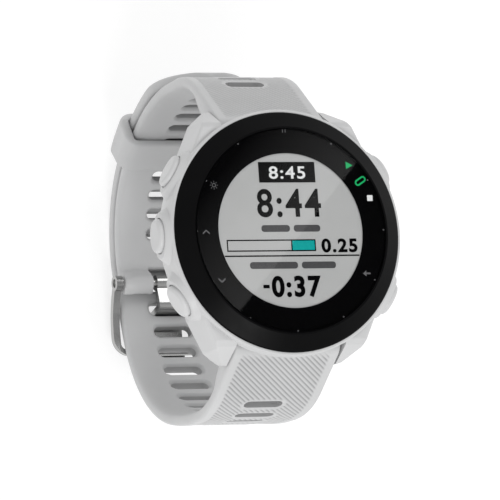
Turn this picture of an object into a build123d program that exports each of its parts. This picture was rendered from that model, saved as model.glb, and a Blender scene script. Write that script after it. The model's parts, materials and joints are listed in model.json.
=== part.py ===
"""A running watch, buckled into its wrist loop.

Millimetres. +X is 3 o'clock, +Y is 12 o'clock and +Z leaves the face. The origin is the centre of the
sensor window on the case back, which is what rests on the wrist.
"""

import os
from math import cos, pi, radians, sin

from build123d import *

os.makedirs("parts", exist_ok=True)

# ---- case ----
CASE_R = 21.0  # widest, at the rim
CASE_BOTTOM = 0.5
CASE_TOP = 9.35
RIM_BOTTOM = 7.3  # the full ring above the strap pockets
CAVITY_R = 14.9
BACK_LEDGE = 1.5  # the back cover seats here
COVER_R = 18.2
COVER_HALF_Y = 15.5  # the cover is cut flat below the straps
COVER_PLAY = 0.08
COVER_BOTTOM = 0.3
BACK_GASKET_R = 15.25
BEZEL_GASKET_R = 18.0
SCREW_X, SCREW_Y = 12.3, 11.4
SCREW_R, SCREW_DEPTH = 0.6, 3.6
SCREW_HEAD_R, SCREW_HEAD_H = 1.0, 0.5
WINDOW_R, WINDOW_T = 5.2, 0.9
CONTACT_Y, CONTACT_PITCH, CONTACT_R = 10.3, 2.5, 0.6
CONTACT_RECESS = 5.6

# ---- bezel, lens and display ----
BEZEL_R = 20.45
BEZEL_LOW = 9.55  # height of its outer edge
LENS_R = 17.35
LENS_TOP = 11.6
LENS_T = 0.5
LENS_SEAT = 11.0
PRINT_ROOM = 0.05  # under the lens, for its black print
DISPLAY_R = 14.0
DISPLAY_TOP = 10.95
BACKLIGHT_TOP = 9.85
ANTENNA_IN, ANTENNA_OUT = 15.05, 16.15

# ---- lugs and quick-release pins ----
LUG_GAP = 20.0
PIN_Y = 18.4
PIN_Z = 4.3
BOSS_R = 2.3  # strap end, around the pin
TUBE_R = 0.9
TUBE_BORE = 0.65
TIP_R = 0.45
TIP_REACH = 10.9
TUBE_HALF = 9.5
PIN_INNER_END = 1.0
LEVER_X = 6.9
LEVER_ANGLE = radians(46)
LEVER_REACH = 2.95
LEVER_R, LEVER_PLAY = 0.4, 0.2
RELEASE_TRAVEL = 1.6
POCKET_WALL_Y = 15.8
LUG_EDGE_R = 0.5

# ---- strap loop, side view ----
STRAP_T = 2.3
LAYER_GAP = 0.15
OUTER_OVER_INNER = STRAP_T + LAYER_GAP
UPPER_SLOPE, UPPER_HIP_R = radians(51), 14.5  # where each strap turns down from its lug
LOWER_SLOPE, LOWER_HIP_R = radians(57), 20.0
BOTTOM_Y, BOTTOM_Z = 5.7, -48.5  # lowest point of the loop
RAMP_SLOPE = radians(15)
RAMP_LENGTH = 10.1
BOTTOM_R = 22.0
BOTTOM_TURN = radians(38)
KEEPER_R = 34.9  # constant radius along which the keeper slides
HEEL_R = 25.0
HEEL_TURN = radians(63)
FLANK_R = 55.0
FLANK_TURN = radians(12)
TIP_SHORT = 2.0  # the free tip stops this far before the end of that stretch

# ---- strap widths and slots ----
STRAP_HALF_WIDE = 9.75
STRAP_HALF_NARROW = 9.0
TAPER_START_Z, TAPER_END_Z = -2.0, -24.0
TIP_CORNER_R = 8.5
TIP_PLAIN = 6.5  # no slot closer than this to the free tip
SLOT_LENGTH = 7.6
SLOT_WIDTH = 2.6
SLOT_PITCH = 4.4
UPPER_SLOTS = 14
UPPER_FIRST_SLOT = 1.8  # distance of the first slot's centre past the slope
LOWER_PLAIN = 3.0  # no slot closer than this to the lower slope

# ---- buckle and keeper ----
BAR_AT = 8.45  # distance from the ramp's start to the buckle bar
BAR_R = 0.7
BAR_BORE = 0.76
BAR_HALF = 10.35
END_BOSS_R = 2.0
BUCKLE_HALF_IN = 9.35
BUCKLE_HALF_OUT = 10.6
BUCKLE_INNER_R = 1.0
BUCKLE_T = 1.2
TANG_WIDTH = 5.8
TANG_T = 1.1
NOTCH_WIDTH, NOTCH_REACH = 7.4, 2.8
TANG_SLOT_FROM_BAR = 3.9
CROSSBAR_AT = 2.6  # distance past the ramp's start, towards 6 o'clock
CROSSBAR_GAP = 0.2
BUCKLE_BOW = 1.3
BUCKLE_EYE_R = 1.35
BUCKLE_CORNER_R = 3.2
TANG_EYE_R = 1.35
TANG_LEG_FROM_BAR = 4.5
TANG_STRAP_GAP = 0.15
TANG_KNEE, TANG_OVERHANG = 1.3, 0.8  # the bend before the crossbar, and the tip past it
TANG_BEND_R = 0.7
KEEPER_WALL = 1.4
KEEPER_PLAY = 0.1
KEEPER_EDGE_R = 2.6
KEEPER_HALF_ANGLE = 6.2
KEEPER_CENTRE = 52.0
KEEPER_HALF_IN = 9.15
KEEPER_HALF_OUT = 10.9

# ---- buttons ----
BUTTONS = {"light": 150, "up": 180, "down": 210, "start": 30, "back": -30}
BUTTON_Z = 6.0
CAP_LONG, CAP_TALL = 2.9, 2.3  # half axes of the oval cap
CAP_PLAY = 0.15
CAP_OUT = 22.7
CAP_IN = 20.5
POCKET_FLOOR = 19.7
PAD_R = 21.8  # crest of the swelling round a button
PAD_BASE_R = 19.2
PAD_LONG, PAD_TALL, PAD_TAPER = 5.6, 4.4, 33  # half axes at its foot, and its slope
PAD_EDGE_R = 0.35
CAP_EDGE_R = 0.6
CLIP_GROOVE_R = 0.6
STEM_R = 0.9
STEM_IN = 14.2
BUSH_R = 1.5
BUSH_IN, BUSH_OUT = 16.2, 18.2
SEAL_OUT = 18.9
CLIP_IN, CLIP_OUT = 14.37, 14.7

# ---- inside ----
SEAM = 0.02  # left between pieces that lie on each other
SENSOR_BOARD_R, SENSOR_BOARD_Z, SENSOR_BOARD_H = 6.4, 1.62, 0.6
EMITTER_Z, EMITTER_H, EMITTER_W, EMITTER_RING_R = 1.0, 0.6, 1.5, 2.4
DETECTOR_W = 1.9
CONTACT_H = 1.1
BEEPER_X, BEEPER_R, BEEPER_T = 10.6, 3.4, 0.25
BATTERY_Z, BATTERY_H = 2.6, 3.0
BATTERY_Y, BATTERY_LONG, BATTERY_WIDE = -2.5, 16.0, 11.0
MOTOR_Y, MOTOR_R, MOTOR_H, MOTOR_LIFT = 7.3, 3.5, 2.5, 0.3
TRAY_R = 12.0
TRAY_TOP = 6.3
TRAY_LIFT, TRAY_WALL = 0.2, 0.6
BOARD_H = 0.8
BOARD_SCREW_RING, BOARD_SCREW_R = 10.6, 0.45
BOARD_HEAD_R, BOARD_HEAD_H = 0.9, 0.5
CAN_LONG, CAN_WIDE, CAN_H = 13.0, 10.0, 1.3
FLEX_T, FLEX_Y, FLEX_W = 0.15, 12.5, 6.0
SWITCH_IN, SWITCH_OUT = 12.3, 13.5
SWITCH_W, SWITCH_H, SWITCH_TIP = 3.4, 2.0, 0.3
CLIP_R, CLIP_MOUTH = 1.5, 0.9


def save(builder, name):
    """Labels a finished piece and writes its file."""
    builder.part.label = name
    export_step(builder.part, f"parts/{name}.step")


# ======== the loop's route, seen from 3 o'clock: a point is (y, z) ========


def move(start, heading, length, radius):
    """The point and heading after one tangent line (radius 0) or arc (positive turns left)."""
    turn = length / radius if radius else 0.0
    reach = 2 * radius * sin(turn / 2) if radius else length
    along = heading + turn / 2
    return (start[0] + reach * cos(along), start[1] + reach * sin(along)), heading + turn


def chain(start, heading, steps):
    """Steps are (length, radius). Returns each one's start, heading, length and radius."""
    pieces = []
    for length, radius in steps:
        pieces.append((start, heading, length, radius))
        start, heading = move(start, heading, length, radius)
    return pieces


def spot(route, distance, inset=0.0):
    """The point and heading at a distance along a route, moved to its left by inset."""
    for start, heading, length, radius in route:
        if distance <= length + 1e-9:
            break
        distance -= length
    point, heading = move(start, heading, distance, radius)
    return (point[0] - inset * sin(heading), point[1] + inset * cos(heading)), heading


def draw(route, first, last, inset=0.0):
    """Draws a stretch of a route as lines and arcs in the current BuildLine."""
    begin = 0.0
    for _, _, length, radius in route:
        low, high = max(first, begin), min(last, begin + length)
        begin += length
        if high - low < 1e-6:
            continue
        a, b = (spot(route, s, inset)[0] for s in (low, high))
        if radius:
            ThreePointArc(a, spot(route, (low + high) / 2, inset)[0], b)
        else:
            Line(a, b)


def lug_steps(point, angle, hip_radius):
    """The lengths of the rise and of the slope that lead from the loop's side up to a lug."""
    top_y = PIN_Y + BOSS_R * sin(angle)
    top_z = PIN_Z + BOSS_R * cos(angle)
    slope = (abs(point[0]) - top_y - hip_radius * (1 - sin(angle))) / cos(angle)
    rise = top_z - point[1] - hip_radius * cos(angle) - slope * sin(angle)
    return rise, slope


bottom_back = (
    BOTTOM_Y - BOTTOM_R * sin(RAMP_SLOPE),
    BOTTOM_Z + BOTTOM_R * (1 - cos(RAMP_SLOPE)),
)
ramp_start = (
    bottom_back[0] - RAMP_LENGTH * cos(RAMP_SLOPE),
    bottom_back[1] + RAMP_LENGTH * sin(RAMP_SLOPE),
)

# From the ramp's start, under the buckle, round to the 12 o'clock lug.
far_steps = [
    (RAMP_LENGTH, 0),
    (BOTTOM_R * (RAMP_SLOPE + BOTTOM_TURN), BOTTOM_R),
    (KEEPER_R * (pi / 2 - BOTTOM_TURN), KEEPER_R),
]
round_end = sum(s[0] for s in far_steps)
far_side, _ = spot(chain(ramp_start, -RAMP_SLOPE, far_steps), round_end, OUTER_OVER_INNER)
far_rise, far_slope = lug_steps(far_side, UPPER_SLOPE, UPPER_HIP_R)
far_hip = UPPER_HIP_R + OUTER_OVER_INNER
far_steps += [(far_rise, 0), (far_hip * (pi / 2 - UPPER_SLOPE), far_hip), (far_slope, 0)]
far_route = chain(ramp_start, -RAMP_SLOPE, far_steps)
far_length = sum(s[0] for s in far_steps)

# From the ramp's start the other way, round to the 6 o'clock lug. It turns right.
near_steps = [(HEEL_R * HEEL_TURN, -HEEL_R), (FLANK_R * FLANK_TURN, -FLANK_R)]
near_side, _ = spot(chain(ramp_start, pi - RAMP_SLOPE, near_steps), sum(s[0] for s in near_steps))
near_rise, near_slope = lug_steps(near_side, LOWER_SLOPE, LOWER_HIP_R)
near_steps += [(near_rise, 0), (LOWER_HIP_R * (pi / 2 - LOWER_SLOPE), -LOWER_HIP_R), (near_slope, 0)]
near_route = chain(ramp_start, pi - RAMP_SLOPE, near_steps)
near_length = sum(s[0] for s in near_steps)

inner_of_inner = OUTER_OVER_INNER + STRAP_T
tip_at = round_end - TIP_SHORT
(bar_y, bar_z), _ = spot(far_route, BAR_AT, OUTER_OVER_INNER + END_BOSS_R)
keeper_y = spot(far_route, RAMP_LENGTH, 0)[0][0] + BOTTOM_R * sin(RAMP_SLOPE)
keeper_y += (BOTTOM_R - KEEPER_R) * sin(BOTTOM_TURN)
keeper_z = BOTTOM_Z + BOTTOM_R - (BOTTOM_R - KEEPER_R) * cos(BOTTOM_TURN)


def wedge(route, length, slope, angle, side, inset):
    """The thick part of a strap's end, from the pin boss to the constant thickness."""
    top = spot(route, length, inset)[0]
    turn = length - slope
    low_out = spot(route, turn, inset)[0]
    low_in = spot(route, turn, inset + side * STRAP_T)[0]
    inner = (side * PIN_Y - side * BOSS_R * sin(angle), PIN_Z - BOSS_R * cos(angle))
    Polygon(top, low_out, low_in, inner, align=None)


def slot_plane(point, heading):
    """A plane through a slot: local x across the strap, local y along it."""
    y_dir = Vector(0, cos(heading), sin(heading))
    x_dir = Vector(1, 0, 0)
    return Plane(origin=(0, *point), x_dir=x_dir, z_dir=x_dir.cross(y_dir))


def cut_slots(route, distances, inset):
    """Cuts the rounded ventilation slots through one strap layer."""
    for distance in distances:
        with BuildSketch(slot_plane(*spot(route, distance, inset))) as slot:
            SlotOverall(SLOT_LENGTH, SLOT_WIDTH)
        extrude(slot.sketch, amount=STRAP_T, both=True, mode=Mode.SUBTRACT)


def lever_plane(side):
    """Looks out of a pin's axis towards the wrist, the way its release lever stands."""
    direction = Vector(0, -side * cos(LEVER_ANGLE), -sin(LEVER_ANGLE))
    return Plane(origin=(0, side * PIN_Y, PIN_Z), x_dir=(1, 0, 0), z_dir=direction)


def cut_lever_slot(side):
    """The slot in a strap's end that the release lever slides along."""
    with BuildSketch(lever_plane(side)) as slot:
        with Locations((LEVER_X - RELEASE_TRAVEL / 2, 0)):
            Rectangle(RELEASE_TRAVEL + 2 * (LEVER_R + LEVER_PLAY), 2 * (LEVER_R + LEVER_PLAY))
    extrude(slot.sketch, amount=6, mode=Mode.SUBTRACT)


def width_outline():
    """A strap's outline from 12 o'clock: wide at the lug, narrow round the wrist."""
    wide, narrow = STRAP_HALF_WIDE, STRAP_HALF_NARROW
    right = [(wide, 8), (wide, TAPER_START_Z), (narrow, TAPER_END_Z), (narrow, -60)]
    Polygon(*right, *[(-x, z) for x, z in reversed(right)], align=None)


# ======== straps ========

with BuildPart() as upper_strap:
    with BuildSketch(Plane.YZ):
        with BuildLine():
            draw(far_route, BAR_AT, far_length - far_slope, OUTER_OVER_INNER)
            draw(far_route, BAR_AT, far_length - far_slope, inner_of_inner)
            for s in (BAR_AT, far_length - far_slope):
                Line(spot(far_route, s, OUTER_OVER_INNER)[0], spot(far_route, s, inner_of_inner)[0])
        make_face()
        wedge(far_route, far_length, far_slope, UPPER_SLOPE, 1, OUTER_OVER_INNER)
        with Locations((PIN_Y, PIN_Z)):
            Circle(BOSS_R)
        with Locations((bar_y, bar_z)):
            Circle(END_BOSS_R)
    extrude(amount=STRAP_HALF_WIDE, both=True)
    with BuildSketch(Plane.XZ):
        width_outline()
    extrude(amount=60, both=True, mode=Mode.INTERSECT)
    # Notch for the tang's barrel, and the two pin bores.
    with BuildSketch(Plane.XY.offset(bar_z)):
        with Locations((0, bar_y)):
            Rectangle(NOTCH_WIDTH, 2 * NOTCH_REACH)
    extrude(amount=4, both=True, mode=Mode.SUBTRACT)
    with BuildSketch(Plane.YZ):
        with Locations((PIN_Y, PIN_Z)):
            Circle(TUBE_R + 0.02)
        with Locations((bar_y, bar_z)):
            Circle(BAR_R + 0.02)
    extrude(amount=12, both=True, mode=Mode.SUBTRACT)
    cut_lever_slot(1)
    first = far_length - far_slope - UPPER_FIRST_SLOT
    distances = [first - i * SLOT_PITCH for i in range(UPPER_SLOTS)]
    cut_slots(far_route, distances, OUTER_OVER_INNER + STRAP_T / 2)

with BuildPart() as lower_strap:
    with BuildSketch(Plane.YZ):
        with BuildLine():
            draw(near_route, 0, near_length - near_slope)
            draw(near_route, 0, near_length - near_slope, -STRAP_T)
            draw(far_route, 0, tip_at)
            draw(far_route, 0, tip_at, STRAP_T)
            end = near_length - near_slope
            Line(spot(near_route, end)[0], spot(near_route, end, -STRAP_T)[0])
            Line(spot(far_route, tip_at)[0], spot(far_route, tip_at, STRAP_T)[0])
        make_face()
        wedge(near_route, near_length, near_slope, LOWER_SLOPE, -1, 0)
        with Locations((-PIN_Y, PIN_Z)):
            Circle(BOSS_R)
    extrude(amount=STRAP_HALF_WIDE, both=True)
    with BuildSketch(Plane.XZ):
        width_outline()
    extrude(amount=60, both=True, mode=Mode.INTERSECT)
    # The free end has a rounded tip.
    tip_z = spot(far_route, tip_at)[0][1]
    with BuildSketch(Plane.XZ.offset(-BOTTOM_Y)):
        with Locations((0, tip_z - 20)):
            Rectangle(30, 120)
        with Locations((0, tip_z - 40)):
            RectangleRounded(2 * STRAP_HALF_NARROW, 80, TIP_CORNER_R, mode=Mode.SUBTRACT)
    extrude(amount=-60, mode=Mode.SUBTRACT)
    with BuildSketch(Plane.YZ):
        with Locations((-PIN_Y, PIN_Z)):
            Circle(TUBE_R + 0.02)
    extrude(amount=12, both=True, mode=Mode.SUBTRACT)
    cut_lever_slot(-1)
    tang_slot = BAR_AT - TANG_SLOT_FROM_BAR
    count = int((tip_at - tang_slot - TIP_PLAIN) // SLOT_PITCH) + 1
    cut_slots(far_route, [tang_slot + i * SLOT_PITCH for i in range(count)], STRAP_T / 2)
    first = SLOT_PITCH - tang_slot
    count = int((near_length - near_slope - LOWER_PLAIN - first) // SLOT_PITCH) + 1
    cut_slots(near_route, [first + i * SLOT_PITCH for i in range(count)], -STRAP_T / 2)

save(upper_strap, "upper_strap")
save(lower_strap, "lower_strap")

# ======== keeper: slides on the constant-radius stretch ========


def keeper_sector(inner_r, outer_r, half_angle):
    """Draws a sector of a ring about that stretch's centre, seen from 3 o'clock."""
    centre = (keeper_y, keeper_z)
    start = KEEPER_CENTRE - 90 - half_angle
    arcs = [CenterArc(centre, r, start, 2 * half_angle) for r in (inner_r, outer_r)]
    Line(arcs[0] @ 0, arcs[1] @ 0)
    Line(arcs[0] @ 1, arcs[1] @ 1)


channel_in = KEEPER_R - inner_of_inner - KEEPER_PLAY
channel_out = KEEPER_R + KEEPER_PLAY
with BuildPart() as keeper:
    with BuildSketch(Plane.YZ):
        with BuildLine():
            keeper_sector(channel_in - KEEPER_WALL, channel_out + KEEPER_WALL, KEEPER_HALF_ANGLE)
        make_face()
    extrude(amount=KEEPER_HALF_OUT, both=True)
    fillet(keeper.edges().filter_by(GeomType.CIRCLE), KEEPER_EDGE_R)
    with BuildSketch(Plane.YZ):
        with BuildLine():
            keeper_sector(channel_in, channel_out, KEEPER_HALF_ANGLE + 1)
        make_face()
    extrude(amount=KEEPER_HALF_IN, both=True, mode=Mode.SUBTRACT)
save(keeper, "keeper")

# ======== buckle: bar, frame and tang ========

with BuildPart() as buckle_bar:
    with BuildSketch(Plane.YZ):
        with Locations((bar_y, bar_z)):
            Circle(BAR_R)
    extrude(amount=BAR_HALF, both=True)
save(buckle_bar, "buckle_bar")

cross_y, cross_z = spot(near_route, CROSSBAR_AT, CROSSBAR_GAP + BUCKLE_T / 2)[0]
bow_y = (bar_y + cross_y) / 2 - BUCKLE_BOW * sin(RAMP_SLOPE) / 2
bow_z = (bar_z + cross_z) / 2 - BUCKLE_BOW
with BuildPart() as buckle_frame:
    with BuildSketch(Plane.YZ):
        with BuildLine():
            ThreePointArc((bar_y, bar_z), (bow_y, bow_z), (cross_y, cross_z))
        trace(line_width=BUCKLE_T)
        with Locations((bar_y, bar_z)):
            Circle(BUCKLE_EYE_R)
        with Locations((cross_y, cross_z)):
            Circle(BUCKLE_T / 2)
    extrude(amount=BUCKLE_HALF_OUT, both=True)
    # Seen from the wrist it is a U: two arms and a crossbar with round corners.
    frame_low = cross_y - BUCKLE_T / 2
    with BuildSketch(Plane.XY.offset(bar_z - 10)):
        with Locations((0, frame_low + 15)):
            RectangleRounded(2 * BUCKLE_HALF_OUT, 30, BUCKLE_CORNER_R)
        with Locations((0, frame_low + BUCKLE_T + 15)):
            RectangleRounded(2 * BUCKLE_HALF_IN, 30, BUCKLE_INNER_R, mode=Mode.SUBTRACT)
            Rectangle(2 * BUCKLE_HALF_IN, 20, mode=Mode.SUBTRACT)
        with Locations((0, frame_low + 30)):
            Rectangle(2 * BUCKLE_HALF_IN, 20, mode=Mode.SUBTRACT)
    extrude(amount=20, mode=Mode.INTERSECT)
    with BuildSketch(Plane.YZ):
        with Locations((bar_y, bar_z)):
            Circle(BAR_BORE)
    extrude(amount=20, both=True, mode=Mode.SUBTRACT)
save(buckle_frame, "buckle_frame")

leg_at = BAR_AT - TANG_LEG_FROM_BAR
leg_low = spot(far_route, leg_at, -TANG_STRAP_GAP - TANG_T / 2)[0]
leg_high = spot(far_route, leg_at, OUTER_OVER_INNER + END_BOSS_R)[0]
over_bar = CROSSBAR_GAP + BUCKLE_T + TANG_STRAP_GAP + TANG_T / 2
tang_knee = spot(near_route, CROSSBAR_AT - TANG_KNEE, over_bar)[0]
tang_end = spot(near_route, CROSSBAR_AT + TANG_OVERHANG, over_bar)[0]
with BuildPart() as buckle_tang:
    with BuildSketch(Plane.YZ):
        with BuildLine():
            FilletPolyline((bar_y, bar_z), leg_high, leg_low, tang_knee, tang_end, radius=TANG_BEND_R)
        trace(line_width=TANG_T)
        with Locations((bar_y, bar_z)):
            Circle(TANG_EYE_R)
    extrude(amount=TANG_WIDTH / 2, both=True)
    with BuildSketch(Plane.YZ):
        with Locations((bar_y, bar_z)):
            Circle(BAR_BORE)
    extrude(amount=20, both=True, mode=Mode.SUBTRACT)
save(buckle_tang, "buckle_tang")

# ======== quick-release pins in the strap ends ========

for side, word in ((1, "upper"), (-1, "lower")):
    across = Plane(origin=(0, side * PIN_Y, PIN_Z), x_dir=(0, 1, 0), z_dir=(1, 0, 0))
    with BuildPart() as release_tube:
        with BuildSketch(across.offset(-TUBE_HALF)):
            Circle(TUBE_R)
        extrude(amount=2 * TUBE_HALF)
        with BuildSketch(across.offset(-TIP_REACH)):
            Circle(TIP_R)
        extrude(amount=2)
        with BuildSketch(across.offset(-TUBE_HALF + 2.5)):
            Circle(TUBE_BORE)
        extrude(amount=30, mode=Mode.SUBTRACT)
        with BuildSketch(lever_plane(side)):
            with Locations((LEVER_X - RELEASE_TRAVEL / 2, 0)):
                Rectangle(RELEASE_TRAVEL + 2 * (LEVER_R + LEVER_PLAY), 2 * (LEVER_R + 0.05))
        extrude(amount=3, mode=Mode.SUBTRACT)
    save(release_tube, f"release_tube_{word}")

    with BuildPart() as release_pin:
        with BuildSketch(across.offset(PIN_INNER_END)):
            Circle(TUBE_BORE - 0.05)
        extrude(amount=TUBE_HALF - PIN_INNER_END)
        with BuildSketch(across.offset(TUBE_HALF)):
            Circle(TIP_R)
        extrude(amount=TIP_REACH - TUBE_HALF)
        with BuildSketch(lever_plane(side)):
            with Locations((LEVER_X, 0)):
                Circle(LEVER_R)
        extrude(amount=LEVER_REACH)
        with BuildSketch(lever_plane(side).offset(LEVER_REACH - 0.45)):
            with Locations((LEVER_X, 0)):
                RectangleRounded(2.4, 1.0, 0.35)
        extrude(amount=0.45)
    save(release_pin, f"release_pin_{word}")

# ======== case ========


def radial(angle, radius, height=BUTTON_Z):
    """A plane square to a button's axis: local x round the case, local y up."""
    a = radians(angle)
    return Plane(
        origin=(radius * cos(a), radius * sin(a), height),
        x_dir=(-sin(a), cos(a), 0),
        z_dir=(cos(a), sin(a), 0),
    )


with BuildPart() as lug:
    with BuildSketch(Plane.XY):
        Polygon(
            (LUG_GAP / 2, 8), (LUG_GAP / 2, 21.6), (11.0, 21.4), (13.3, 19.3), (15.9, 13.8), (15.9, 8),
            align=None,
        )
    extrude(amount=CASE_TOP)
    with BuildSketch(Plane.YZ):
        Polygon(
            (7, 8.5), (18.1, 8.5), (19.0, 7.8), (21.7, 2.9), (21.4, 1.5), (20.0, 0.7), (7, CASE_BOTTOM),
            align=None,
        )
    extrude(amount=20, mode=Mode.INTERSECT)
    fillet(lug.edges().filter_by(lambda e: e.center().Y > 13 and e.center().X > 10.5), LUG_EDGE_R)

# A low oval swelling round each button.
pads = []
for angle in BUTTONS.values():
    with BuildPart() as swelling:
        with BuildSketch(radial(angle, PAD_BASE_R)):
            Ellipse(PAD_LONG, PAD_TALL)
        extrude(amount=PAD_R - PAD_BASE_R, taper=PAD_TAPER)
        crest = swelling.faces().sort_by(SortBy.DISTANCE)[-1]
        fillet(crest.edges(), PAD_EDGE_R)
    pads.append(swelling.part)

with BuildPart() as mid_case:
    with BuildSketch(Plane.XZ):
        with BuildLine():
            Polyline((0, CASE_BOTTOM), (19.0, CASE_BOTTOM), (19.9, 1.3), (20.6, 3.2), (20.9, 5.6))
            Polyline((20.9, 5.6), (CASE_R, RIM_BOTTOM), (CASE_R, CASE_TOP - 0.35))
            Polyline((CASE_R, CASE_TOP - 0.35), (CASE_R - 0.25, CASE_TOP), (0, CASE_TOP))
            Line((0, CASE_TOP), (0, CASE_BOTTOM))
        make_face()
    revolve(axis=Axis.Z)
    for half in (lug.part, mirror(lug.part, about=Plane.XZ, mode=Mode.PRIVATE)):
        add(half)
        mirror(half, about=Plane.YZ)
    for pad in pads:
        add(pad)
    with BuildSketch(Plane.XY.offset(CASE_TOP)):
        Circle(2 * CASE_R)
    extrude(amount=CASE_TOP, mode=Mode.SUBTRACT)
    # Cavity, seat of the back cover and its gasket groove.
    with BuildSketch(Plane.XY.offset(BACK_LEDGE - 1)):
        Circle(CAVITY_R)
    extrude(amount=20, mode=Mode.SUBTRACT)
    with BuildSketch(Plane.XY):
        Circle(COVER_R + COVER_PLAY)
        Rectangle(50, 2 * (COVER_HALF_Y + COVER_PLAY), mode=Mode.INTERSECT)
    extrude(amount=BACK_LEDGE, mode=Mode.SUBTRACT)
    with BuildSketch(Plane.XY.offset(BACK_LEDGE)):
        Circle(BACK_GASKET_R + 0.3)
        Circle(BACK_GASKET_R - 0.3, mode=Mode.SUBTRACT)
    extrude(amount=0.45, mode=Mode.SUBTRACT)
    with BuildSketch(Plane.XY.offset(CASE_TOP - 0.35)):
        Circle(BEZEL_GASKET_R + 0.4)
        Circle(BEZEL_GASKET_R - 0.4, mode=Mode.SUBTRACT)
    extrude(amount=1, mode=Mode.SUBTRACT)
    # Strap pockets under the rim.
    with BuildSketch(Plane.XY.offset(-1)):
        with Locations((0, POCKET_WALL_Y + 5), (0, -POCKET_WALL_Y - 5)):
            Rectangle(LUG_GAP, 10)
    extrude(amount=RIM_BOTTOM + 1, mode=Mode.SUBTRACT)
    with BuildSketch(Plane.YZ):
        with Locations((PIN_Y, PIN_Z), (-PIN_Y, PIN_Z)):
            Circle(TIP_R + 0.05)
    extrude(amount=TIP_REACH + 0.2, both=True, mode=Mode.SUBTRACT)
    # Button pockets, with a bore for the bush and seal and a smaller one for the stem.
    for angle in BUTTONS.values():
        with BuildSketch(radial(angle, POCKET_FLOOR)):
            Ellipse(CAP_LONG + CAP_PLAY, CAP_TALL + CAP_PLAY)
        extrude(amount=5, mode=Mode.SUBTRACT)
        with BuildSketch(radial(angle, BUSH_IN)):
            Circle(BUSH_R)
        extrude(amount=5, mode=Mode.SUBTRACT)
        with BuildSketch(radial(angle, 12)):
            Circle(STEM_R + 0.1)
        extrude(amount=5, mode=Mode.SUBTRACT)
    with BuildSketch(Plane.XY.offset(BACK_LEDGE)):
        with GridLocations(2 * SCREW_X, 2 * SCREW_Y, 2, 2):
            Circle(SCREW_R)
    extrude(amount=SCREW_DEPTH, mode=Mode.SUBTRACT)
save(mid_case, "mid_case")

# ======== back cover and what it carries ========

with BuildPart() as back_cover:
    with BuildSketch(Plane.XY.offset(COVER_BOTTOM)):
        Circle(COVER_R)
        Rectangle(50, 2 * COVER_HALF_Y, mode=Mode.INTERSECT)
    extrude(amount=BACK_LEDGE - SEAM - COVER_BOTTOM)
    chamfer(back_cover.faces().sort_by(Axis.Z)[0].edges(), 0.25)
    with BuildSketch(Plane.XY.offset(COVER_BOTTOM)):
        Circle(WINDOW_R + 0.05)
    extrude(amount=WINDOW_T - COVER_BOTTOM, mode=Mode.SUBTRACT)
    with BuildSketch(Plane.XY):
        Circle(WINDOW_R - 0.8)
    extrude(amount=5, mode=Mode.SUBTRACT)
    with BuildSketch(Plane.XY):
        with Locations((0, -CONTACT_Y)):
            RectangleRounded(CONTACT_RECESS, CONTACT_RECESS, 1.2)
    extrude(amount=COVER_BOTTOM + 0.2, mode=Mode.SUBTRACT)
    with BuildSketch(Plane.XY):
        with Locations((0, -CONTACT_Y)):
            with GridLocations(CONTACT_PITCH, CONTACT_PITCH, 2, 2):
                Circle(CONTACT_R + 0.03)
        with GridLocations(2 * SCREW_X, 2 * SCREW_Y, 2, 2):
            Circle(SCREW_R + 0.1)
    extrude(amount=5, mode=Mode.SUBTRACT)
    with BuildSketch(Plane.XY):
        with GridLocations(2 * SCREW_X, 2 * SCREW_Y, 2, 2):
            Circle(SCREW_HEAD_R + 0.1)
    extrude(amount=COVER_BOTTOM + SCREW_HEAD_H + 0.05, mode=Mode.SUBTRACT)
save(back_cover, "back_cover")

with BuildPart() as sensor_window:
    with BuildSketch(Plane.XY):
        Circle(WINDOW_R)
    extrude(amount=WINDOW_T - SEAM)
    chamfer(sensor_window.faces().sort_by(Axis.Z)[0].edges(), 0.25)
save(sensor_window, "sensor_window")

with BuildPart() as sensor_board:
    with BuildSketch(Plane.XY.offset(SENSOR_BOARD_Z)):
        Circle(SENSOR_BOARD_R)
    extrude(amount=SENSOR_BOARD_H)
save(sensor_board, "sensor_board")

with BuildPart() as sensor_emitters:
    with BuildSketch(Plane.XY.offset(EMITTER_Z)):
        with PolarLocations(EMITTER_RING_R, 3):
            Rectangle(EMITTER_W, EMITTER_W)
        Rectangle(DETECTOR_W, DETECTOR_W)
    extrude(amount=EMITTER_H)
save(sensor_emitters, "sensor_emitters")

with BuildPart() as charging_contacts:
    with BuildSketch(Plane.XY.offset(COVER_BOTTOM + 0.2)):
        with Locations((0, -CONTACT_Y)):
            with GridLocations(CONTACT_PITCH, CONTACT_PITCH, 2, 2):
                Circle(CONTACT_R)
    extrude(amount=CONTACT_H)
save(charging_contacts, "charging_contacts")

with BuildPart() as beeper_disc:
    with BuildSketch(Plane.XY.offset(BACK_LEDGE)):
        with Locations((BEEPER_X, 0)):
            Circle(BEEPER_R)
    extrude(amount=BEEPER_T)
save(beeper_disc, "beeper_disc")

with BuildPart() as back_gasket:
    with BuildSketch(Plane.XY.offset(BACK_LEDGE)):
        Circle(BACK_GASKET_R + 0.25)
        Circle(BACK_GASKET_R - 0.25, mode=Mode.SUBTRACT)
    extrude(amount=0.4)
save(back_gasket, "back_gasket")

with BuildPart() as back_screws:
    head_low = COVER_BOTTOM + 0.05
    with BuildSketch(Plane.XY.offset(head_low)):
        with GridLocations(2 * SCREW_X, 2 * SCREW_Y, 2, 2):
            Circle(SCREW_HEAD_R)
    extrude(amount=SCREW_HEAD_H)
    with BuildSketch(Plane.XY.offset(head_low)):
        with GridLocations(2 * SCREW_X, 2 * SCREW_Y, 2, 2):
            Circle(SCREW_R - 0.05)
    extrude(amount=SCREW_DEPTH)
    with BuildSketch(Plane.XY.offset(head_low)):
        with GridLocations(2 * SCREW_X, 2 * SCREW_Y, 2, 2):
            RegularPolygon(0.45, 6)
    extrude(amount=0.35, mode=Mode.SUBTRACT)
save(back_screws, "back_screws")

# ======== bezel, lens and display ========

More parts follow.
